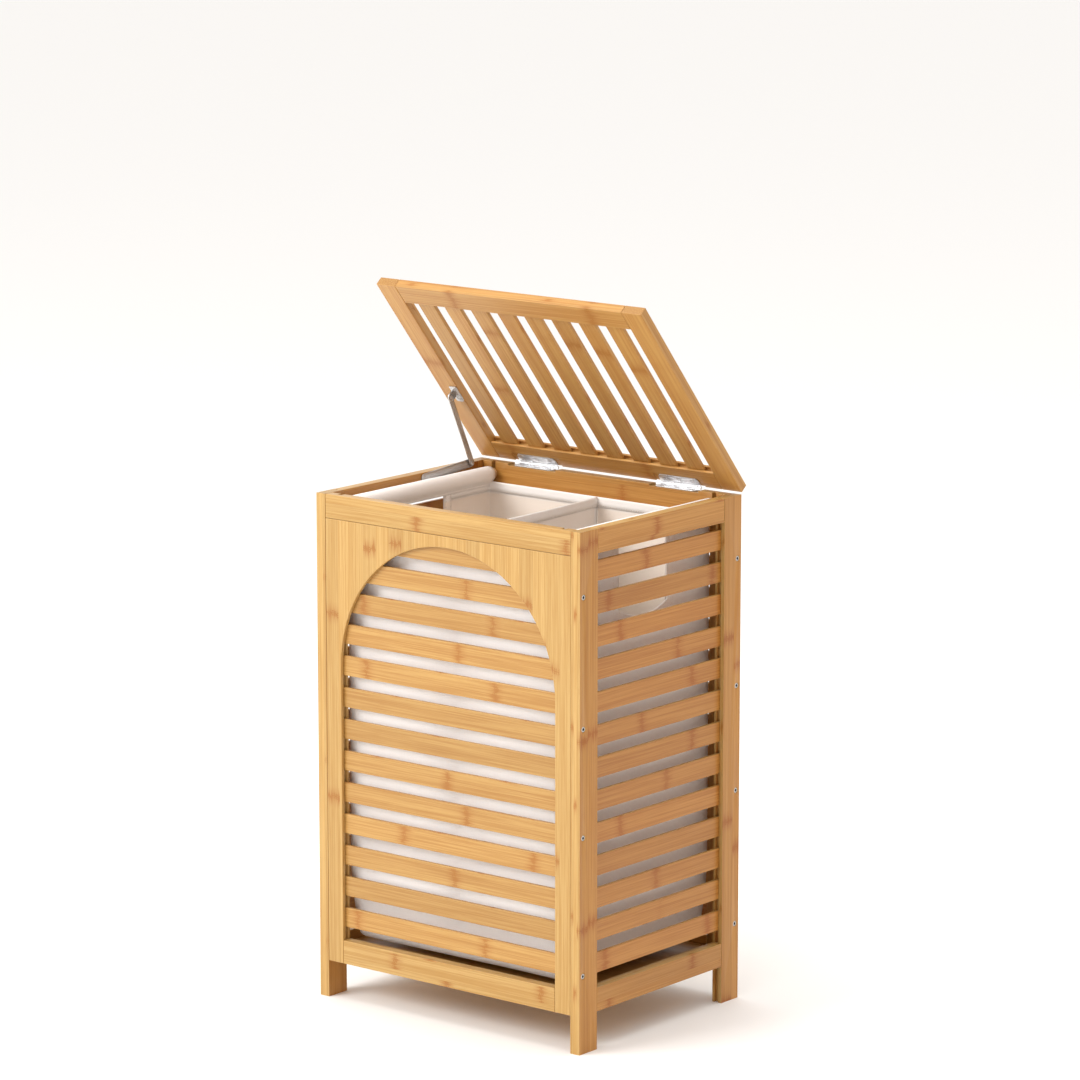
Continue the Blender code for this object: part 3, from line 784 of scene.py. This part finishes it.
def bag():
    """The walls and the bottom of both compartments, as one sheet of canvas."""
    arcs = bag_columns()
    heights = spread([RIM, SLOT_LOW, BOTTOM + FOLD])
    turns = [math.pi / 2 * step / FOLD_STEPS for step in range(1, FOLD_STEPS + 1)]
    heights += [BOTTOM + FOLD - FOLD * math.sin(turn) for turn in turns]
    rows, places = [], []

    def droop(arc, z):
        """The lower edge of a handle slot hangs in an arc, and the cloth near it goes with it."""
        spot, _, wall, _ = plan(arc)
        if wall not in (1, 3) or abs(spot.y) > SLOT_HALF:
            return z
        near = max(0.0, 1 - abs(z - SLOT_LOW) / SLOT_PULL)
        return z - SLOT_SAG * (1 - (spot.y / SLOT_HALF) ** 2) * near

    for z in heights:
        rows.append([on_bag(arc, droop(arc, z)) for arc in arcs])
        places.append([(arc, z) for arc in arcs])
    walls = len(heights) - 1
    edge = rows[-1]
    for step in range(1, BOTTOM_RINGS + 1):
        size = 1 - step / BOTTOM_RINGS
        ring = []
        for point in edge:
            x, y = point.x * size, (point.y - BAG_Y) * size
            sag = abs(math.sin(math.pi * x / HALF_X)) * math.cos(math.pi * y / 2 / HALF_Y)
            pucker = PUCKER * noise.noise((40 * x, 40 * y, 1))
            ring.append(Vector((x, y + BAG_Y, BOTTOM - SAG * sag + pucker * min(1.0, size * step))))
        rows.append(ring)
        places.append([(point.x, point.y) for point in ring])

    def uvs(row, column, face_row):
        if face_row >= walls and row == walls:
            return edge[column].x, edge[column].y
        return places[row][column]

    def keep(row, column):
        spot, _, wall, _ = plan((arcs[column] + arcs[column + 1]) / 2)
        slot = wall in (1, 3) and abs(spot.y) < SLOT_HALF
        return not (slot and row < walls and (heights[row] + heights[row + 1]) / 2 > SLOT_LOW)

    made = canvas("liner_walls", rows, uvs, CLOTH, -1, keep)
    made.data.flip_normals()
    return made


def divider():
    """The wall between the compartments, which dips a little along its top edge."""
    ys = spread([-HALF_Y, HALF_Y])
    rows, places = [], []
    for step in range(DIVIDER_ROWS + 1):
        down = step / DIVIDER_ROWS
        row, place = [], []
        for y in ys:
            share = y / HALF_Y
            top = RIM - DIVIDER_DIP * (1 - share**2)
            z = top + (BOTTOM + 0.001 - top) * down
            reach = (HALF_Y - inset(z)) * narrowing(z) - CLOTH
            wave = DIVIDER_WAVE * math.sin(2.2 * math.pi * down + 1.3 * share)
            wave += 0.002 * noise.noise((0, 14 * y, 9 * z))
            row.append(Vector((wave * (1 - share**4) * min(1.0, 4 * down), BAG_Y + share * reach, z)))
            place.append((y, z))
        rows.append(row)
        places.append(place)
    made = canvas("liner_divider", rows, lambda i, j, _: places[i][j], CLOTH)
    half = [(0.0013, -HEM), (0.0015, -HEM / 2), (0.0012, 0.0)]
    profile = [*half, (0.0, 0.0009), *((-side, rise) for side, rise in reversed(half))]
    lip = [[point + Vector((side, 0, rise)) for point in rows[0]] for side, rise in profile]
    lipped = canvas("liner_divider_hem", lip, lambda i, j, _: (ys[j], profile[i][1] + profile[i][0]))
    seam_at = [Vector((side, 0, 0.0016 - HEM)) for side in (-0.0017, 0.0017)]
    return made, lipped, [[point + place for point in rows[0]] for place in seam_at]


def travelled(points):
    """How far along a path each of its points is."""
    steps = (math.dist(start, end) for start, end in zip(points, points[1:]))
    return [*itertools.accumulate(steps, initial=0.0)]


def folded_over(outside, fold):
    """The profile of a strip bound over the wall's edge, as places along the wall and out from it."""
    return [*outside, (fold, -CLOTH / 2), *((along, -CLOTH - lift) for along, lift in reversed(outside))]


def hem():
    """The rim's folded edge: on the front and back walls, and on the end walls beside the handle slots."""
    profile = folded_over([(-HEM, 0.0005), (-HEM / 2, 0.0007), (-0.0008, 0.0005)], 0.0008)
    made, seams = [], []
    gaps = [(arc_at(1, SLOT_HALF), arc_at(3, SLOT_HALF)), (arc_at(3, -SLOT_HALF), arc_at(1, -SLOT_HALF) + ROUND)]
    for name, (start, end) in zip(("back", "front"), gaps):
        arcs = spread([start, end], 0.004)
        rows = [[on_bag(arc, RIM + rise, lift) for arc in arcs] for rise, lift in profile]
        made.append(canvas(f"liner_{name}_hem", rows, lambda i, j, _: (arcs[j], profile[i][0] - profile[i][1])))
        for lift in (0.0010, -CLOTH - 0.0010):
            seams.append([on_bag(arc, RIM - HEM + 0.0016, lift) for arc in arcs])
    return made, seams


def slot_path():
    """Round a handle slot from its top, down, along its hanging edge and up: points (y, z) with the way out."""
    radius = (SLOT_HALF**2 + SLOT_SAG**2) / (2 * SLOT_SAG)
    tilt = math.asin(SLOT_HALF / radius)
    path = [((-SLOT_HALF, z), -math.pi) for z in spread([RIM - 0.002, SLOT_LOW])]
    path += [((-SLOT_HALF, SLOT_LOW), -math.pi + (math.pi / 2 - tilt) * step / 5) for step in range(1, 5)]
    mirrored = [((-y, z), -math.pi - aim) for (y, z), aim in reversed(path)]
    for step in range(SLOT_STEPS + 1):
        turn = tilt * (2 * step / SLOT_STEPS - 1)
        drop = radius * (math.cos(turn) - math.cos(tilt))
        path.append(((radius * math.sin(turn), SLOT_LOW - drop), turn - math.pi / 2))
    return path + mirrored


def slot_band(side, wall):
    """The canvas band that binds a handle slot on both faces of its wall."""
    outside, inside = 0.0006, -CLOTH - 0.0006
    profile = folded_over([(SLOT_BAND, outside), (SLOT_BAND / 2, 0.0008), (0.0006, outside)], -0.0004)
    path = slot_path()

    def point(spot, aim, away, lift):
        (y, z) = spot
        y, z = y + away * math.cos(aim), z + away * math.sin(aim)
        return on_bag(arc_at(wall, y), z, lift)

    rows = [[point(spot, aim, away, lift) for spot, aim in path] for away, lift in profile]
    lengths = travelled(rows[0])
    made = canvas(f"liner_{side}_slot_band", rows, lambda i, j, _: (lengths[j], profile[i][0] - profile[i][1]))
    seams = []
    for away in (0.0016, SLOT_BAND - 0.0014):
        for lift in (outside + 0.0004, inside - 0.0004):
            seams.append([point(spot, aim, away, lift) for spot, aim in path])
    return made, seams


def sleeve(side, sign):
    """The tube of canvas round a rod, whose two edges are sewn to the wall below it."""
    outer, inner = 0.0007, -CLOTH - 0.0007
    tube = arc_points(0.0, 0.0, SLEEVE_R, 228, -276, SLEEVE_STEPS)
    profile = [(inner, -SLEEVE_TAIL), (inner, -SLEEVE_SHUT), *tube, (outer, -SLEEVE_SHUT), (outer, -SLEEVE_TAIL)]
    ys = spread([-HALF_Y, HALF_Y], 0.005)
    rows = []
    for out, rise in profile:
        row = []
        for y in ys:
            end = max(0.0, 1 - (HALF_Y - abs(y)) / 0.008)
            loose = 1 + 0.020 * noise.noise((30 * y, 90 * out, 90 * rise + sign)) - 0.025 * end**2
            free = loose if rise > -SLEEVE_R else 1.0
            row.append(Vector((sign * (HALF_X + out * free), BAG_Y + y, ROD.z + rise * free)))
        rows.append(row)
    around = travelled(profile)
    made = canvas(f"liner_{side}_sleeve", rows, lambda i, j, _: (ys[j], around[i]), SLEEVE_CLOTH, -1)
    if sign > 0:
        made.data.flip_normals()
    seams = []
    for out in (outer + 0.0003, inner - 0.0003):
        seams.append([Vector((sign * (HALF_X + out), BAG_Y + y, ROD.z - SLEEVE_SEAM)) for y in ys])
    for y in (0.006 - HALF_Y, HALF_Y - 0.006):
        top = [(out, rise) for out, rise in profile if rise > -SLEEVE_R]
        seams.append([Vector((sign * (HALF_X + 1.03 * out), BAG_Y + y, ROD.z + 1.03 * rise)) for out, rise in top])
    return made, seams, 2 * HALF_Y, around[-1]


def stitch(shape, start, end):
    """One stitch: a slim spindle that dips into the cloth at both ends."""
    way = end - start
    turned = way.to_track_quat("X", "Z").to_matrix()
    tips = [shape.verts.new(start), shape.verts.new(end)]
    rings = []
    for share in (0.2, 0.8):
        ring = []
        for turn in range(STITCH_SIDES):
            angle = 2 * math.pi * turn / STITCH_SIDES
            out = turned @ Vector((0, math.cos(angle), math.sin(angle)))
            ring.append(shape.verts.new(start + share * way + STITCH_R * out))
        rings.append(ring)
    for i in range(STITCH_SIDES):
        j = (i + 1) % STITCH_SIDES
        shape.faces.new((tips[0], rings[0][j], rings[0][i]))
        shape.faces.new((rings[0][i], rings[0][j], rings[1][j], rings[1][i]))
        shape.faces.new((tips[1], rings[1][i], rings[1][j]))


def stitching(name, seams):
    """A row of stitches along each seam."""
    shape = bmesh.new()
    for seam in seams:
        travelled, drawn = 0.0, 0.0
        for start, end in zip(seam, seam[1:]):
            length = (end - start).length
            while length and drawn + STITCH < travelled + length:
                first = max(0.0, drawn - travelled) / length
                last = (drawn + STITCH - travelled) / length
                stitch(shape, start.lerp(end, first), start.lerp(end, last))
                drawn += STITCH + STITCH_GAP
            travelled += length
    return piece(name, mesh_from(name, shape), "liner_fabric", "carcass", finish=THREAD_AND_SEAM_SHADE)


def dowel(side):
    """The rod in a sleeve: a chamfered dowel with a turned pin at each end."""
    node = f"{side}_liner_rod"
    low, high = span(node)
    half = (high.y - low.y) / 2
    thick, pin, shoulder, chamfer = 0.0070, 0.0027, half - 0.0070, 0.0008
    end = [(thick, shoulder - chamfer), (thick - chamfer, shoulder), (pin, shoulder)]
    shape = lathe(two_ended([*end, (pin, half - chamfer), (pin - chamfer, half)]))
    bmesh.ops.rotate(shape, matrix=TO_X.to_3x3(), verts=shape.verts)
    place = Matrix.Translation((low + high) / 2) @ grain_frame("Y", "Z")
    made = piece(f"{side}_dowel", mesh_from(node, shape), "rod_wood", "carcass", place)
    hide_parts(node)
    return made


def liner():
    walls = bag()
    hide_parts("liner_bag")
    middle_wall, middle_hem, seams = divider()
    hems, hem_seams = hem()
    seams += hem_seams
    rods = [dowel(side) for side in ("left", "right")]
    bands, sleeves = [], []
    for side, wall, sign in (("right", 1, 1), ("left", 3, -1)):
        band, band_seams = slot_band(side, wall)
        tube, tube_seams, long, round_it = sleeve(side, sign)
        bands.append(band)
        sleeves.append(tube)
        seams += band_seams + tube_seams
    sewing = stitching("liner_stitching", seams)


# ---------------- hinges and stay

LEAF = 0.0012
CLEAR = 0.0003
KNUCKLE_R = 0.0020
PIN_R = 0.0010
PIN_HEAD_R = 0.62 * KNUCKLE_R
LEAF_SCREW_R = 0.0026
LEAF_SCREW_APART = 0.0210
LEAF_SCREW_ROW = -0.0006  # from the middle of the leaf's depth
SCREW_CROWN = 0.0006
CLIPPED = 0.0034  # corners of a leaf
RIVET_HOLE_R = 0.0019
RIVET_SHANK_R = 0.0017
RIVET_DOME = 0.0009
BRACKET = 0.0015
EAR_HALF = 0.006
UPPER_ARM_HALF = 0.0040
LOWER_ARM_HALF = 0.0055
RIB = 0.0003  # how far an arm's pressed rib stands out, on the side away from the carcass


def plate(outline, holes, thick, edge=0.0002):
    """A flat plate about z 0 with rounded edges. Holes: x, y and radius."""
    curve = bpy.data.curves.new("outline", "CURVE")
    curve.dimensions = "2D"
    curve.fill_mode = "BOTH"
    curve.extrude = thick / 2
    rings = [outline]
    for x, y, radius in holes:
        rings.append([(x + px, y + py) for px, py, _ in ring_points(radius, 24, 0)])
    for ring in rings:
        spline = curve.splines.new("POLY")
        spline.points.add(len(ring) - 1)
        for point, (x, y) in zip(spline.points, ring):
            point.co = (x, y, 0, 1)
        spline.use_cyclic_u = True
    holder = linked("outline", curve)
    holder.modifiers.new("weld", "WELD").merge_threshold = WELD
    rounded(holder, edge, 2, 50)
    mesh = bpy.data.meshes.new_from_object(holder.evaluated_get(bpy.context.evaluated_depsgraph_get()))
    bpy.data.objects.remove(holder)
    return mesh


def joined(name, parts):
    """One mesh of several, each with the matrix that places it."""
    shape = bmesh.new()
    for mesh, matrix in parts:
        start = len(shape.verts)
        shape.from_mesh(mesh)
        shape.verts.ensure_lookup_table()
        bmesh.ops.transform(shape, matrix=matrix, verts=shape.verts[start:])
    return mesh_from(name, shape)


def lathe_mesh(profile, count=32):
    return mesh_from("turned", lathe(profile, count))


def barrel(length, radius):
    half, chamfer = length / 2, 0.0002
    return lathe_mesh(two_ended([(radius, half - chamfer), (radius - chamfer, half)]), 28)


def hinge(side, screw):
    """A butt hinge: each leaf is a plate with clipped corners, curled into its knuckles and held by three screws."""
    pivot = Vector(JOINTS["lid_hinge"]["pos_m"])
    for body, turn, up in (("carcass", IDENTITY, 1), ("lid", LID, -1)):
        node = f"{side}_hinge_{body}_leaf"
        low, high = span(node, turn)
        half = (high.x - low.x) / 2
        front, back = low.y, pivot.y - KNUCKLE_R - 2 * CLEAR
        level = LEAF / 2 + (low.z if body == "carcass" else span("lid_back_rail", LID)[0].z)
        centre = Vector(((low.x + high.x) / 2, (front + back) / 2, level))
        deep = (back - front) / 2
        outline = [
            (half, deep), (-half, deep), (-half, CLIPPED - deep), (CLIPPED - half, -deep),
            (half - CLIPPED, -deep), (half, CLIPPED - deep),
        ]
        screws = [(x, LEAF_SCREW_ROW) for x in (-LEAF_SCREW_APART, 0.0, LEAF_SCREW_APART)]
        holes = [(x, y, LEAF_SCREW_R + CLEAR) for x, y in screws]
        parts = [(plate(outline, holes, LEAF), IDENTITY)]
        knuckle = half / 3 - CLEAR / 2
        knuckles = (0.0,) if body == "lid" else (-2 * half / 3, 2 * half / 3)
        for x in knuckles:
            y, z = pivot.y - centre.y, pivot.z - centre.z
            parts.append((barrel(2 * knuckle, KNUCKLE_R), Matrix.Translation((x, y, z)) @ TO_X))
            tongue = [(x - knuckle, deep - LEAF), (x + knuckle, deep - LEAF), (x + knuckle, y), (x - knuckle, y)]
            parts.append((plate(tongue, (), LEAF), IDENTITY))
        place = turn @ Matrix.Translation(centre)
        made = piece(node + "_plate", joined(node, parts), "hinge_metal", body, place)
        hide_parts(node)
        for number, (x, y) in enumerate(screws):
            at = turn @ facing((0, 0, up), centre + Vector((x, y, up * (LEAF / 2 - CLEAR))))
            spin = Matrix.Rotation(1.24 + 1.1 * number, 4, "Z")
            piece(f"{side}_hinge_{body}_screw_{number + 1}", screw, "hinge_metal", body, at @ spin)
    node = f"{side}_hinge_pin"
    low, high = span(node)
    half = (high.x - low.x) / 2
    pin = lathe_mesh(two_ended([(PIN_R, half - 0.0006), (PIN_HEAD_R, half - 0.0002), (PIN_R, half)]))
    made = piece(node + "_rod", pin, "hinge_metal", "carcass", Matrix.Translation((low + high) / 2) @ TO_X)
    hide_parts(node)


def stadium(length, half):
    """The outline of a bar with round ends, from its pivot at 0, 0 along X."""
    return arc_points(length, 0.0, half, -90, 180, 14) + arc_points(0.0, 0.0, half, 90, 180, 14)


def arm(node, body, pivot, elbow, wide):
    """A pressed steel bar with a raised rib, from its pivot to the elbow."""
    low, high = span(node)
    thick = high.x - low.x
    way = Vector((0, elbow.y - pivot.y, elbow.z - pivot.z))
    length = way.length
    along = way.normalized()
    side = AXES["X"]
    place = Matrix((along, side.cross(along), side)).transposed().to_4x4()
    place.translation = ((low.x + high.x) / 2, pivot.y, pivot.z)
    margin = 2.2 * wide
    rib = [(x + margin, y) for x, y in stadium(length - 2 * margin, wide / 5)]
    parts = [
        (plate(stadium(length, wide), [(x, 0, RIVET_HOLE_R) for x in (0, length)], thick, 0.0003), IDENTITY),
        (plate(rib, (), thick + RIB), Matrix.Translation((0, 0, RIB / 2))),
    ]
    made = piece(node + "_bar", joined(node, parts), "stay_steel", body, place)
    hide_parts(node)


def domed(node, body, turn=IDENTITY):
    """A turned rivet along X: its shank, and a domed head at the +X end."""
    low, high = span(node, turn)
    long = high.x - low.x
    head = (high.z - low.z) / 2
    under = long - RIVET_DOME
    profile = [(RIVET_SHANK_R, 0.0), (RIVET_SHANK_R, under)]
    for step in range(7):
        # The last step stops short of the pole, and leaves a small flat
        bend = math.pi / 2 * step / 6.5
        profile.append((head * math.cos(bend), under + RIVET_DOME * math.sin(bend)))
    place = turn @ facing((1, 0, 0), Vector((low.x, (low.y + high.y) / 2, (low.z + high.z) / 2)))
    made = piece(node + "_turned", lathe_mesh(profile), "stay_steel", body, place)
    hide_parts(node)


def bracket(pivot, screw):
    """A plate screwed under the lid, and an ear bent down from it that carries the stay's upper pivot."""
    low, high = span("stay_lid_bracket", LID)
    wide, long = high.x - low.x, high.y - low.y
    sharp, soft = 0.0008, 0.0022
    corners = (
        (wide - soft, soft, soft, -90), (wide - soft, long - soft, soft, 0),
        (sharp, long - sharp, sharp, 90), (sharp, sharp, sharp, 180),
    )
    outline = [point for corner in corners for point in arc_points(*corner, 90, 5)]
    screws = [(0.60 * wide, 0.16 * long), (0.60 * wide, 0.84 * long)]
    flat = plate(outline, [(x, y, LEAF_SCREW_R - CLEAR) for x, y in screws], BRACKET)

    # The ear, drawn with X pointing down from the plate
    reach = high.z - low.z - EAR_HALF
    ear = [(-BRACKET / 2, -EAR_HALF), (-BRACKET / 2, EAR_HALF)]
    ear += arc_points(reach, 0.0, EAR_HALF, 90, -180, 12)
    drop = high.z - BRACKET / 2 - (LID.inverted() @ pivot).z
    hang = Matrix(((0, 0, 1), (0, 1, 0), (-1, 0, 0))).to_4x4()
    hang.translation = (BRACKET / 2, long / 2, 0)
    parts = [(flat, IDENTITY), (plate(ear, [(drop, 0, RIVET_HOLE_R)], BRACKET), hang)]
    place = LID @ Matrix.Translation((low.x, low.y, high.z - BRACKET / 2))
    made = piece("stay_bracket", joined("stay_bracket", parts), "stay_steel", "lid", place)
    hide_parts("stay_lid_bracket")
    for number, (x, y) in enumerate(screws):
        at = LID @ facing((0, 0, -1), Vector((low.x + x, low.y + y, high.z - BRACKET + CLEAR)))
        piece(f"stay_bracket_screw_{number + 1}", screw, "hinge_metal", "lid", at)


def stay(screw):
    upper, lower = (Vector(JOINTS[f"stay_{which}_pivot"]["pos_m"]) for which in ("upper", "lower"))
    elbow = middle("stay_elbow_rivet")
    arm("stay_upper_arm", "stay_upper", upper, elbow, UPPER_ARM_HALF)
    arm("stay_lower_arm", "stay_lower", lower, elbow, LOWER_ARM_HALF)
    domed("stay_elbow_rivet", "stay_upper")
    domed("stay_lid_rivet", "lid", LID)
    domed("stay_carcass_screw", "carcass")
    bracket(upper, screw)


carcass()
slats()
lid()
liner()
SCREW = cross_head(LEAF_SCREW_R, SCREW_CROWN)
hinge("left", SCREW)
hinge("right", SCREW)
stay(SCREW)


# ---------------- studio

CAMERA_AZIMUTH = math.radians(38.9289)
CAMERA_PITCH = math.radians(11.0876)
CAMERA_LENS = 163.782
CAMERA_AT = (3.7359, -4.6083, 1.7435)


def camera():
    data = bpy.data.cameras.new("camera")
    data.lens = CAMERA_LENS
    data.clip_end = 200
    made = linked("camera", data)
    made.location = CAMERA_AT
    made.rotation_euler = (math.pi / 2 - CAMERA_PITCH, 0, CAMERA_AZIMUTH)
    bpy.context.scene.camera = made


def softbox(name, at, aim, size, power):
    data = bpy.data.lights.new(name, "AREA")
    data.shape = "RECTANGLE"
    data.size, data.size_y = size
    data.energy = power
    made = linked(name, data)
    made.location = at
    made.rotation_euler = (Vector(aim) - Vector(at)).to_track_quat("-Z", "Y").to_euler()


def studio():
    scene = bpy.context.scene
    scene.view_settings.view_transform = "Standard"
    # White all round, but dimmer and a little warm low on the object's right
    scene.world = bpy.data.worlds.new("studio")
    r = Recipe("studio", scene.world)
    right, _, up = r.split(r.add("TexCoord").outputs["Generated"])
    low_right = r.maths("MULTIPLY_ADD", r.maths("ABSOLUTE", up), -0.8, right)
    r.set(Color=r.mix(r.ramp(low_right, -0.10, 0.45), (1.0, 1.0, 1.0), (0.70, 0.60, 0.54)), Strength=1.05)

    half = 60.0
    shape = bmesh.new()
    bmesh.ops.create_grid(shape, x_segments=8, y_segments=8, size=half)
    floor = linked("floor", mesh_from("floor", shape))
    r = Recipe("floor_paper")
    speckle = r.noise(r.add("TexCoord").outputs["Object"], 40.0, 4.0)
    r.set(Base_Color=r.mix(speckle, (0.94, 0.925, 0.90), (0.95, 0.935, 0.91)), Roughness=0.9)
    floor.data.materials.append(r.material)

    softbox("key", (-1.9, -3.6, 2.9), (0, 0, 0.4), (2.4, 2.0), 135)
    softbox("top", (0.0, 0.1, 3.6), (0, 0, 0), (2.6, 2.6), 45)


camera()
studio()
